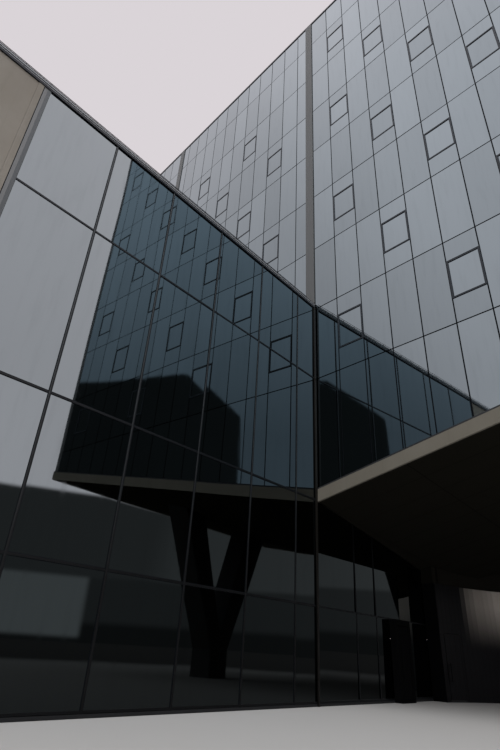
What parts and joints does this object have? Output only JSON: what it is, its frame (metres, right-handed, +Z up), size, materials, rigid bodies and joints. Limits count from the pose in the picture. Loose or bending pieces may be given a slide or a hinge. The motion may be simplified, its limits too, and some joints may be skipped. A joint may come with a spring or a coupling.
{
  "type": "modern glass building, 1:2 scale model",
  "caption": "Glazed office slab crossing a lower glazed wing, reaching over a forecourt on V-shaped columns under a folded soffit; a 1:2 scale model.",
  "frame": {"origin": "on the ground, where the outer faces of the wing's south front and the tower's west front meet", "axes": "+X from the tower's west front to its east front, +Y along the tower to the north, +Z up"},
  "size_m": [24.0832, 28.41, 21.675],
  "materials": {
    "glass": "grey coated glass",
    "wing_glass": "grey coated glass",
    "concrete": "smooth concrete",
    "roofing": "gravel and membrane",
    "fin": "satin grey-brown",
    "dark_metal": "satin dark grey",
    "pale_panel": "matt beige",
    "soffit": "satin bronze",
    "column": "dark coated concrete",
    "core_metal": "dark brushed sheet"
  },
  "bodies": {
    "building": {"core_bulkhead": "soffit", "core_floor": "concrete", "core_return_wall": "core_metal", "core_wall_bend": "core_metal", "core_wall_east": "core_metal", "core_wall_middle": "core_metal", "core_wall_over_door": "core_metal", "core_wall_west": "core_metal", "corner_posts": "dark_metal", "entrance_jambs": "dark_metal", "entrance_lintel": "dark_metal", "entrance_sill": "dark_metal", "forecourt_frame": "dark_metal", "forecourt_glass": "wing_glass", "ground_floor": "concrete", "north_columns": "column", "north_fascia": "pale_panel", "north_fascia_trim": "dark_metal", "north_forecourt_frame": "dark_metal", "north_forecourt_glass": "wing_glass", "north_soffit": "soffit", "south_columns": "column", "south_fascia": "pale_panel", "south_fascia_trim": "dark_metal", "south_soffit": "soffit", "tower_coping": "dark_metal", "tower_east_glass": "glass", "tower_fins": "fin", "tower_floors": "concrete", "tower_north_glass": "glass", "tower_roof": "roofing", "tower_south_glass": "glass", "tower_west_glass": "glass", "wing_coping": "dark_metal", "wing_edge_strips": "dark_metal", "wing_first_floor": "concrete", "wing_north_frame": "dark_metal", "wing_north_glass": "wing_glass", "wing_north_wall": "pale_panel", "wing_roof": "roofing", "wing_roof_rail": "dark_metal", "wing_second_floor": "concrete", "wing_south_frame": "dark_metal", "wing_south_glass": "wing_glass", "wing_south_wall": "pale_panel", "wing_west_wall": "pale_panel"},
    "core_door": {"core_door": "core_metal"},
    "entrance_door": {"entrance_door": "dark_metal"}
  },
  "joints": [
    {"name": "core_door_hinge", "type": "hinge", "parent": "building", "child": "core_door", "pos_m": [5.1339, -0.11786, 0.7], "axis": [0, 0, 1], "range_deg": [0, 90]},
    {"name": "entrance_door_hinge", "type": "hinge", "parent": "building", "child": "entrance_door", "pos_m": [3.18406, 0.09678, 0.7], "axis": [0, 0, 1], "range_deg": [0, 90]}
  ]
}
